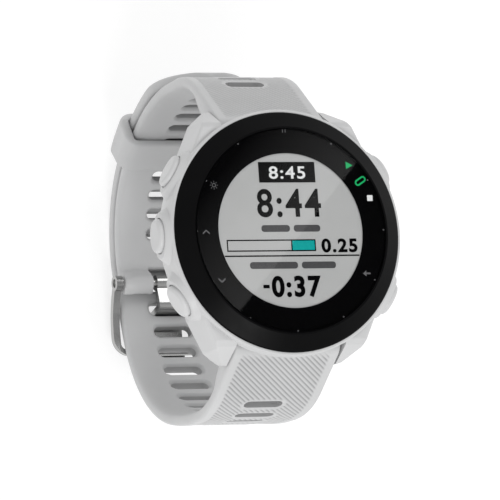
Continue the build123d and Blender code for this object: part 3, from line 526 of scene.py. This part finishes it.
def strap_mesh(name, outer, inner, holes, half_width, rib_sign, shade, tip_at_end=False):
    """A strap as one closed skin: ribs outside, rolled shoulders inside, slots cut through."""
    outer, inner = np.array(outer), np.array(inner)
    rows = len(outer)
    run = run_along(outer)
    columns = int(2 * HALF_WIDE / STEP) // 2 * 2 + 1
    across = np.linspace(-1, 1, columns)
    width = half_width(outer, run)
    s = np.repeat(run[:, None], columns, 1)
    x = across[None, :] * width[:, None]
    # Faces inside a hole go, and the vertices round it move onto its outline, down the hole's gradient.
    hole, lip = hole_field(holes, s, x, run[-1])
    kept, rim = open_faces(hole)
    grad_s = np.gradient(hole, axis=0) / np.gradient(s, axis=0)
    grad_x = np.gradient(hole, axis=1) / np.maximum(np.gradient(x, axis=1), 1e-6)
    size = np.maximum(np.hypot(grad_s, grad_x), 0.3) ** 2
    edge = (1 - np.abs(across))[None, :] * width[:, None]
    end = run[-1] - s if tip_at_end else np.full_like(s, FAR)
    thick = np.linalg.norm(outer - inner, axis=1)[:, None]
    radius = np.minimum(EDGE_R, THIN_SHARE * thick + 1e-3)
    drop = round_over(np.clip(np.minimum(edge, end), 0, None), EDGE_R) * radius / EDGE_R
    i, j = np.meshgrid(np.arange(rows), np.arange(columns), indexing="ij")
    phase = ((i * rib_sign + j) % RIB_STEPS) / RIB_STEPS
    groove = 1 - np.abs(np.sin(pi * phase)) ** 0.8
    ribbed = ease((edge - RIB_BORDER) / RIB_FADE) * ease((hole - RIB_LIP) / LIP_FADE)
    ribbed *= ease((s - RIB_START) / RIB_EASE) * ease((end - RIB_BORDER) / RIB_FADE)
    out_drop = drop + (RIB_DEPTH * groove + RIB_SINK) * ribbed
    roll = np.clip(1 - np.minimum(edge, end) / SHOULDER, 0, 1)
    roll = SHOULDER_DROP * (1 - np.sqrt(1 - roll**2)) * ease((s - SHOULDER_START) / SHOULDER_EASE)
    in_drop = np.maximum(drop, roll)

    def skin(points, drop_by, away, mouth, rounding):
        """One face of the strap; its holes' rims are drawn in by mouth and rounded over."""
        narrowed = hole + mouth * lip
        to_rim = np.where(rim, -narrowed / size, 0)
        lip_drop = round_over(np.where(rim, 0, np.clip(narrowed, 0, None)), rounding)
        drop_by = np.minimum(np.maximum(drop_by, lip_drop), THIN_SHARE * thick)
        normal = normals(points, away)
        tangent = np.gradient(points, axis=0)
        tangent /= np.linalg.norm(tangent, axis=1, keepdims=True) + 1e-12
        place = points[:, None, :] - normal[:, None, :] * drop_by[:, :, None]
        place = place + tangent[:, None, :] * (to_rim * grad_s)[:, :, None]
        return np.stack([x + to_rim * grad_x, place[..., 0], place[..., 1]], -1).reshape(-1, 3)

    outside = skin(outer, out_drop, outer + (outer - inner), LIP_OUT, LIP_OUT_R)
    inside = skin(inner, in_drop, inner - (outer - inner), LIP_IN, LIP_IN_R)
    vertices = np.concatenate([outside, inside])
    # painted shade: each rib's groove, scaled per strap by shade, darkens the silicone's colour
    dark = np.concatenate([(shade * groove * ribbed).ravel(), np.zeros(rows * columns)])
    return closed_grid(name, vertices * MM, kept, rows, columns, dark)


def closed_grid(name, vertices, kept, rows, columns, dark):
    """Two grids of the same layout, joined by walls where the kept faces end; a hole's walls take a darker
    material, painted shade.
    """
    under = rows * columns
    index = np.arange(rows * columns).reshape(rows, columns)
    a, b, c, d = index[:-1, :-1], index[1:, :-1], index[1:, 1:], index[:-1, 1:]
    top = np.stack([a, b, c, d], -1)[kept]
    faces = [top, top[:, ::-1] + under]
    grown = np.pad(kept, 1)
    inner_row, inner_column = np.zeros(kept.shape, bool), np.zeros(kept.shape, bool)
    inner_row[1:-1], inner_column[:, 1:-1] = True, True
    sides = (
        (~grown[:-2, 1:-1], inner_row, a, d), (~grown[2:, 1:-1], inner_row, c, b),
        (~grown[1:-1, :-2], inner_column, b, a), (~grown[1:-1, 2:], inner_column, d, c),
    )
    painted_shade_walls = [np.zeros(2 * len(top), int)]
    for bare, within, first, second in sides:
        chosen = kept & bare
        p, q = first[chosen], second[chosen]
        faces.append(np.stack([p, q, q + under, p + under], -1))
        painted_shade_walls.append(within[chosen].astype(int))
    return new_piece(name, vertices, np.concatenate(faces), SKIN_CREASE, dark, np.concatenate(painted_shade_walls))


def new_piece(name, vertices, faces, sharp, dark=None, slots=None):
    """A smooth object from points and faces, creased where it turns by over sharp degrees."""
    mesh = bpy.data.meshes.new(name)
    mesh.from_pydata(vertices.tolist(), [], faces.tolist())
    # painted shade: the groove attribute darkens the grooves, and slots gives the holes' walls the darker
    # second material
    if dark is not None:
        mesh.attributes.new("groove", "FLOAT", "POINT").data.foreach_set("value", dark)
        mesh.polygons.foreach_set("material_index", slots)
    shape = bmesh.new()
    shape.from_mesh(mesh)
    bmesh.ops.remove_doubles(shape, verts=shape.verts, dist=WELD)
    loose = [v for v in shape.verts if not v.link_faces]
    bmesh.ops.delete(shape, geom=loose, context="VERTS")
    bmesh.ops.recalc_face_normals(shape, faces=shape.faces)
    shape.to_mesh(mesh)
    shape.free()
    mesh.shade_smooth()
    mesh.set_sharp_from_angle(angle=radians(sharp))
    piece = bpy.data.objects.new(name, mesh)
    bpy.context.collection.objects.link(piece)
    return piece


def tapered(points, run):
    """Half width: wide at the lug, narrow round the wrist."""
    fall = ease((TAPER_START_Z - points[:, 1]) / (TAPER_START_Z - TAPER_END_Z))
    return HALF_WIDE - (HALF_WIDE - HALF_NARROW) * fall


def tapered_tongue(points, run):
    """The same, and past the lowest point narrow all the way to a rounded tip."""
    width = np.where(points[:, 0] > BOTTOM_Y, HALF_NARROW, tapered(points, run))
    left = np.clip(TIP_CORNER_R - (run[-1] - run), 0, TIP_CORNER_R)
    return width - TIP_CORNER_R + np.sqrt(TIP_CORNER_R**2 - left**2)


def build_lower_strap():
    """The long strap, from the 6 o'clock lug under the buckle to its free tip."""
    outer, inner = lug_end(-1)
    lead = BOSS_R * pi / 2 + near_slope
    for distance in spaced(near_length - near_slope, 0)[:-1]:
        outer.append(spot(near_route, distance))
        inner.append(spot(near_route, distance, -STRAP_T))
    for distance in spaced(0, tip_at):
        outer.append(spot(far_route, distance))
        inner.append(spot(far_route, distance, STRAP_T))
    ramp_start = lead + near_length - near_slope
    tang = ramp_start + BAR_AT - TANG_SLOT_FROM_BAR
    first = tang - SLOT_PITCH * int((tang - lead) / SLOT_PITCH)
    last = ramp_start + tip_at - TIP_PLAIN
    while first < lead + LOWER_PLAIN:
        first += SLOT_PITCH
    slots = np.arange(first, last, SLOT_PITCH)
    holes = [("tang slot" if abs(at - tang) < 0.1 else "slot", at) for at in slots]
    return strap_mesh("lower_strap_skin", outer, inner, holes, tapered_tongue, -1, 1.0, tip_at_end=True)


def build_upper_strap():
    """The short strap, from the 12 o'clock lug to the buckle bar."""
    outer, inner = lug_end(1)
    swell = 3.0
    route_distances = spaced(far_length - far_slope, BAR_AT)[:-1]
    first_row = len(outer)
    for distance in route_distances:
        extra = (2 * END_BOSS_R - STRAP_T) * float(ease(1 - (distance - BAR_AT) / swell))
        outer.append(spot(far_route, distance, LAYER))
        inner.append(spot(far_route, distance, LAYER + STRAP_T + extra))
    bar = spot(far_route, BAR_AT, LAYER + END_BOSS_R)
    down = np.array((sin(-RAMP_SLOPE), -cos(RAMP_SLOPE)))
    past = np.array((-cos(RAMP_SLOPE), sin(RAMP_SLOPE)))
    outer += quarter(bar, END_BOSS_R, down, past) + [bar + END_BOSS_R * past]
    inner += quarter(bar, END_BOSS_R, -down, past) + [bar + END_BOSS_R * past]
    run = run_along(np.array(outer))[first_row:first_row + len(route_distances)]
    from_lug = far_length - far_slope - route_distances
    wanted = UPPER_FIRST_SLOT + SLOT_PITCH * np.arange(UPPER_SLOTS)
    holes = [("slot", at) for at in np.interp(wanted, from_lug, run)]
    holes.append(("notch", END_BOSS_R * pi / 2 + NOTCH_REACH))
    return strap_mesh("upper_strap_skin", outer, inner, holes, tapered, 1, 0.45)


CORNER_POINTS, WIDE_POINTS, TALL_POINTS = 13, 32, 8  # round the keeper's section
RIM_POINTS, WALL_STEPS = 8, 14  # round one of its rims, and across its wall


def round_loop(half_x, low, high, radius):
    """A rounded rectangle in (x, height), with the same count of points for any size."""
    middle, rise = (low + high) / 2, (high - low) / 2
    corners = []
    for sx, sy, start in ((1, 1, 0), (-1, 1, 90), (-1, -1, 180), (1, -1, 270)):
        centre = np.array((sx * (half_x - radius), middle + sy * (rise - radius)))
        angles = np.radians(start + np.linspace(0, 90, CORNER_POINTS))
        corners.append(centre + radius * np.stack([np.cos(angles), np.sin(angles)], 1))
    points = []
    for k, corner in enumerate(corners):
        count = WIDE_POINTS if k % 2 == 0 else TALL_POINTS
        after = corners[(k + 1) % 4][0]
        share = np.linspace(0, 1, count)[1:-1, None]
        points += [corner, corner[-1] * (1 - share) + after * share]
    return np.concatenate(points)


def build_keeper():
    """The soft loop that holds the free tip: a rounded band, bent along the strap's arc."""
    start, heading, _, radius = far_route[2]
    centre = np.array((start[0] - radius * sin(heading), start[1] + radius * cos(heading)))
    low, high = radius - LAYER - STRAP_T - KEEPER_PLAY, radius + KEEPER_PLAY
    inside = round_loop(KEEPER_HALF_IN, low, high, KEEPER_BORE_R)
    outside = round_loop(KEEPER_HALF_OUT, low - KEEPER_WALL, high + KEEPER_WALL, KEEPER_EDGE_R)
    thick = np.linalg.norm(outside - inside, axis=1)
    half = KEEPER_HALF_ANGLE * radius
    soft = KEEPER_RIM_R
    section = []  # (through the wall, along the strap, corner directions)
    for wall, side, first in ((1, 1, 0), (0, 1, 90), (0, -1, 180), (1, -1, 270)):
        for a in np.radians(first + np.linspace(0, 90, RIM_POINTS)):
            section.append((wall, side, cos(a), sin(a)))
        if wall == 0 and side == 1:
            section += [(0, 1 - 2 * k / WALL_STEPS, -1, 0) for k in range(1, WALL_STEPS)]
        elif wall == 1 and side == -1:
            section += [(1, -1 + 2 * k / WALL_STEPS, 1, 0) for k in range(1, WALL_STEPS)]
    rows = []
    for wall, side, across, along in section:
        share = (wall * (thick - 2 * soft) + soft + soft * across) / thick
        place = inside + (outside - inside) * share[:, None]
        turn = (KEEPER_CENTRE - pi / 2) + (side * (half - soft) + soft * along) / radius
        y, z = centre[0] + place[:, 1] * cos(turn), centre[1] + place[:, 1] * sin(turn)
        rows.append(np.stack([place[:, 0], y, z], 1))
    count, around = len(rows), len(inside)
    index = np.arange(count * around).reshape(count, around)
    right, up = np.roll(index, -1, 1), np.roll(index, -1, 0)
    faces = np.stack([index, right, np.roll(right, -1, 0), up], -1).reshape(-1, 4)
    piece = new_piece("keeper_band", np.concatenate(rows) * MM, faces, BAND_CREASE)
    piece.data.materials.append(MATERIALS["strap_silicone"])
    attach(piece, "keeper")
    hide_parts("keeper")


def build_straps():
    """Both straps, in their finish, on the case's body."""
    for piece, cad in ((build_lower_strap(), "lower_strap"), (build_upper_strap(), "upper_strap")):
        piece.data.materials.append(MATERIALS["strap_silicone"])
        # the second material: painted shade on the holes' walls
        piece.data.materials.append(RECESS_PAINTED_SHADE)
        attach(piece, "watch")
        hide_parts(cad)


# ======== what shows through the lens ========

INK_WHITE = flat_ink("ink_white", (0.88, 0.89, 0.89))
INK_GREY = flat_ink("ink_grey", (0.16, 0.16, 0.165))
INK_CAPTION = flat_ink("ink_caption", (0.085, 0.085, 0.088))
INK_TEAL = flat_ink("ink_teal", (0.012, 0.40, 0.38))
INK_GREEN = flat_ink("ink_green", (0.02, 0.50, 0.16))
INK_T = 0.012 * MM
THIN, BOLD = 0.018, 0.038  # how far a digit's outline is swelled, as a share of its size
DIGIT_GAP = 1.16  # the digits' spacing


def plate(name, outline, z, ink, holes=()):
    """A thin printed shape from outlines of (x, y) in mm, lying at height z."""
    curve = bpy.data.curves.new(name, "CURVE")
    curve.dimensions = "2D"
    curve.fill_mode = "BOTH"
    curve.extrude = INK_T / 2
    for points in (outline, *holes):
        line = curve.splines.new("POLY")
        line.points.add(len(points) - 1)
        for at, (x, y) in zip(line.points, points):
            at.co = (x * MM, y * MM, 0, 1)
        line.use_cyclic_u = True
    drawn = bpy.data.objects.new(name + "_line", curve)
    mesh = bpy.data.meshes.new_from_object(drawn)
    bpy.data.objects.remove(drawn)
    return finish_ink(name, mesh, z, ink)


def finish_ink(name, mesh, z, ink):
    """Places a flat mesh at height z and fixes it to the watch."""
    mesh.transform(Matrix.Translation((0, 0, z)))
    mesh.materials.clear()
    mesh.materials.append(ink)
    mesh.name = name
    piece = bpy.data.objects.new(name, mesh)
    bpy.context.collection.objects.link(piece)
    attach(piece, "watch")
    return piece


def disc(radius, count):
    """A circle's outline."""
    return [(radius * cos(2 * pi * k / count), radius * sin(2 * pi * k / count)) for k in range(count)]


def bar(x0, y0, x1, y1, corner=0.0):
    """A rectangle's outline, with round corners if asked."""
    if not corner:
        return [(x0, y0), (x1, y0), (x1, y1), (x0, y1)]
    points = []
    for x, y, start in ((x1, y0, -90), (x1, y1, 0), (x0, y1, 90), (x0, y0, 180)):
        cx, cy = x + (corner if x == x0 else -corner), y + (corner if y == y0 else -corner)
        for k in range(7):
            a = radians(start + 15 * k)
            points.append((cx + corner * cos(a), cy + corner * sin(a)))
    return points


def digits(name, text, box, ink, z, weight=THIN):
    """A number as a thin mesh, fitted to a box (x0, y0, x1, y1) in mm."""
    curve = bpy.data.curves.new(name, "FONT")
    curve.body = text
    curve.size = 1
    curve.offset = weight
    curve.space_character = DIGIT_GAP
    curve.extrude = 1
    drawn = bpy.data.objects.new(name + "_line", curve)
    mesh = bpy.data.meshes.new_from_object(drawn)
    bpy.data.objects.remove(drawn)
    corners = np.array([v.co for v in mesh.vertices])
    low, high = corners.min(0), corners.max(0)
    x0, y0, x1, y1 = (v * MM for v in box)
    mesh.transform(Matrix.Translation((-low[0], -low[1], 0)))
    fit = ((x1 - x0) / (high[0] - low[0]), (y1 - y0) / (high[1] - low[1]), INK_T / 2, 1)
    mesh.transform(Matrix.Diagonal(fit))
    mesh.transform(Matrix.Translation((x0, y0, 0)))
    return finish_ink(name, mesh, z, ink)


def build_screen():
    """A workout page: clock, pace, a progress bar and the time ahead, with plain bars for words."""
    z = SCREEN_Z + INK_T
    plate("clock_box", bar(-5.1, 8.18, 5.2, 11.68), z, INK_BLACK)
    digits("clock_digits", "8:45", (-3.25, 8.8, 3.4, 10.95), INK_WHITE, z + INK_T)
    digits("pace_digits", "8:44", (-5.8, 2.27, 5.9, 7.1), INK_BLACK, z)
    plate("pace_caption_1", bar(-5.3, -0.2, -0.1, 0.95, 0.5), z, INK_CAPTION)
    plate("pace_caption_2", bar(0.6, -0.2, 5.45, 0.95, 0.5), z, INK_CAPTION)
    window = bar(-11.56, -3.3, 4.2, -1.72)
    plate("progress_frame", bar(-11.78, -3.52, 4.42, -1.5), z, INK_BLACK, [window])
    plate("progress_fill", bar(0.15, -3.3, 4.2, -1.72), z, INK_TEAL)
    plate("progress_edge", bar(-0.07, -3.3, 0.15, -1.72), z, INK_BLACK)
    digits("distance_digits", "0.25", (5.45, -3.78, 12.05, -1.4), INK_BLACK, z, BOLD)
    plate("rule", bar(-12.3, -4.4, 12.3, -4.16), z, INK_BLACK)
    plate("ahead_caption_1", bar(-7.85, -6.45, 0.9, -5.3, 0.5), z, INK_CAPTION)
    plate("ahead_caption_2", bar(1.6, -6.45, 7.85, -5.3, 0.5), z, INK_CAPTION)
    plate("ahead_sign", bar(-5.7, -9.75, -4.55, -9.15), z, INK_BLACK)
    digits("ahead_digits", "0:37", (-4.15, -11.35, 4.9, -7.65), INK_BLACK, z, BOLD)


def turned(points, angle, radius):
    """Moves a mark, drawn with its foot towards the centre, out to a place on the dial."""
    a = radians(angle - 90)
    return [(x * cos(a) - (y + radius) * sin(a), x * sin(a) + (y + radius) * cos(a)) for x, y in points]


def upright(points, angle, radius):
    """Moves a mark out to a place on the dial and keeps it upright."""
    a = radians(angle)
    return [(x + radius * cos(a), y + radius * sin(a)) for x, y in points]


# ---- places on the dial: degrees from 3 o'clock, and mm from the centre ----
SIGN_LIGHT, SIGN_UP, SIGN_DOWN, SIGN_BACK = (150, 15.5), (181, 15.4), (212, 15.5), (-29, 15.3)
SIGN_START, SIGN_RUN, SIGN_STOP = (44, 15.9), (32, 15.8), (20, 15.9)
DOT_R, DOT_AT = 0.15, 17.03
TICK_AT, TICK_APART, TICK_HALF, TICK_REACH = 16.95, 0.24, 0.07, 0.28
BORDER_GAP = 0.1  # from the printed border to the lens's edge


def build_dial():
    """The black border printed under the lens, its hour marks and a small sign by each button."""
    low = LENS_UNDER - 0.03 * MM
    z = low + INK_T
    border, window = disc(LENS_R / MM - BORDER_GAP, 192), disc(SCREEN_R / MM, 192)
    plate("lens_border", border, low, INK_BLACK, [window])
    for hour in range(1, 12):
        plate(f"hour_dot_{hour}", turned(disc(DOT_R, 20), 90 - 30 * hour, DOT_AT), z, INK_GREY)
    for side in (-1, 1):
        middle = side * TICK_APART
        tick = bar(middle - TICK_HALF, -TICK_REACH, middle + TICK_HALF, TICK_REACH)
        plate(f"hour_tick_{side + 2}", turned(tick, 90, TICK_AT), z, INK_GREY)
    # Light: a small sun. Up and down: chevrons. Back: an arrow. Start: a triangle, a pill. Stop: a square.
    sun, hollow = disc(0.36, 40), disc(0.24, 40)
    plate("sign_light", upright(sun, *SIGN_LIGHT), z, INK_GREY, [upright(hollow, *SIGN_LIGHT)])
    for k in range(8):
        ray = turned(bar(-0.05, 0.5, 0.05, 0.74), 45 * k, 0)
        plate(f"sign_light_ray_{k}", upright(ray, *SIGN_LIGHT), z, INK_GREY)
    chevron = [(-0.62, -0.3), (0, 0.26), (0.62, -0.3), (0.62, -0.02), (0, 0.54), (-0.62, -0.02)]
    plate("sign_up", upright(chevron, *SIGN_UP), z, INK_GREY)
    plate("sign_down", upright([(x, -y) for x, y in chevron], *SIGN_DOWN), z, INK_GREY)
    head, shaft = [(-0.1, -0.52), (-0.72, 0), (-0.1, 0.52)], [(0.66, 0.14), (0.66, -0.14)]
    arrow = head + [(-0.1, 0.14)] + shaft + [(-0.1, -0.14)]
    plate("sign_back", upright(arrow, *SIGN_BACK), z, INK_GREY)
    play = [(-0.5, -0.62), (0.72, 0), (-0.5, 0.62)]
    plate("sign_start", upright(play, *SIGN_START), z, INK_GREEN)
    pill, slot = bar(-0.55, -1.1, 0.55, 1.1, 0.54), bar(-0.27, -0.82, 0.27, 0.82, 0.26)
    plate("sign_run", turned(pill, *SIGN_RUN), z, INK_GREEN, [turned(slot, *SIGN_RUN)])
    plate("sign_stop", upright(bar(-0.5, -0.5, 0.5, 0.5, 0.1), *SIGN_STOP), z, INK_WHITE)


# ======== stage ========

SQUARE = (-1, -1), (1, -1), (1, 1), (-1, 1)
FLOOR_REACH = 3.0
FLOOR_GREY, FLOOR_GLOW, SURROUND_GLOW = 0.45, 0.62, 0.68
CARD_Z, CARD_GAP, CARD_REACH = 0.5, 0.02, 0.075  # the dark card is a little above the soft edge
MIRROR = Vector((0.2205, 0.0808, 0))  # where the lens's centre is mirrored, at that height
ALONG_EDGE = Vector((0.68, 0.733, 0))
EDGE_HALF, EDGE_WIDTH, EDGE_GLOW = 0.05, 0.027, 0.5


def area_light(name, place, size, power):
    """A square soft light that faces the watch."""
    light = bpy.data.lights.new(name, "AREA")
    light.shape = "SQUARE"
    light.size = size
    light.energy = power
    lamp = bpy.data.objects.new(name, light)
    lamp.location = place
    lamp.rotation_euler = (-Vector(place)).to_track_quat("-Z", "Y").to_euler()
    bpy.context.collection.objects.link(lamp)


def build_stage():
    """A plain pale floor, a pale surround and soft studio lights."""
    mesh = bpy.data.meshes.new("floor")
    corners = [(x * FLOOR_REACH, y * FLOOR_REACH, FLOOR_Z) for x, y in SQUARE]
    mesh.from_pydata(corners, [], [(0, 1, 2, 3)])
    floor = bpy.data.objects.new("floor", mesh)
    bpy.context.collection.objects.link(floor)
    material, tree, shader = new_material("floor")
    shader.inputs["Base Color"].default_value = (FLOOR_GREY, FLOOR_GREY, FLOOR_GREY, 1)
    shader.inputs["Roughness"].default_value = 0.9
    shader.inputs["Emission Color"].default_value = (1, 1, 1, 1)
    shader.inputs["Emission Strength"].default_value = FLOOR_GLOW
    mesh.materials.append(material)
    world = bpy.data.worlds.new("surround")
    world.use_nodes = True
    background = world.node_tree.nodes["Background"]
    background.inputs["Color"].default_value = (1, 1, 1, 1)
    background.inputs["Strength"].default_value = SURROUND_GLOW
    bpy.context.scene.world = world
    area_light("key", place=(-0.1, -0.6, 0.6), size=0.35, power=3.0)
    area_light("fill", place=(0.25, 0.5, 0.5), size=0.4, power=1.1)


def card(name, corners, colour, glow=None):
    """A flat card that the lens mirrors; glow is its brightness at each corner."""
    mesh = bpy.data.meshes.new(name)
    mesh.from_pydata(corners, [], [(0, 1, 2, 3)])
    material, tree, shader = new_material(name)
    shader.inputs["Base Color"].default_value = (*colour, 1)
    shader.inputs["Roughness"].default_value = 1
    shader.inputs["Specular IOR Level"].default_value = 0
    if glow:
        layer = mesh.color_attributes.new("glow", "FLOAT_COLOR", "POINT")
        for k, value in enumerate(glow):
            layer.data[k].color = (value, value, value, 1)
        light = node(tree, "ShaderNodeVertexColor", layer_name="glow")
        tree.links.new(light.outputs["Color"], shader.inputs["Emission Color"])
        shader.inputs["Emission Strength"].default_value = 1
    mesh.materials.append(material)
    piece = bpy.data.objects.new(name, mesh)
    bpy.context.collection.objects.link(piece)


def build_cards():
    """A dark card over the lens, and a soft light with one straight edge across it."""
    above = CARD_Z + CARD_GAP
    spread = [MIRROR + Vector((x * CARD_REACH, y * CARD_REACH, above)) for x, y in SQUARE]
    card("dark_card", spread, (0.01, 0.01, 0.01))
    away_from_edge = Vector((-ALONG_EDGE.y, ALONG_EDGE.x, 0))
    edge = MIRROR + Vector((0, 0, CARD_Z))
    length, width = ALONG_EDGE * EDGE_HALF, away_from_edge * EDGE_WIDTH
    corners = [edge - length, edge + length, edge + length + width, edge - length + width]
    card("soft_edge", corners, (0, 0, 0), (EDGE_GLOW, EDGE_GLOW, 0.0, 0.0))


bpy.context.scene.view_settings.view_transform = "Standard"
make_camera()
dress_nodes()
build_straps()
build_keeper()
build_dial()
build_screen()
build_stage()
build_cards()
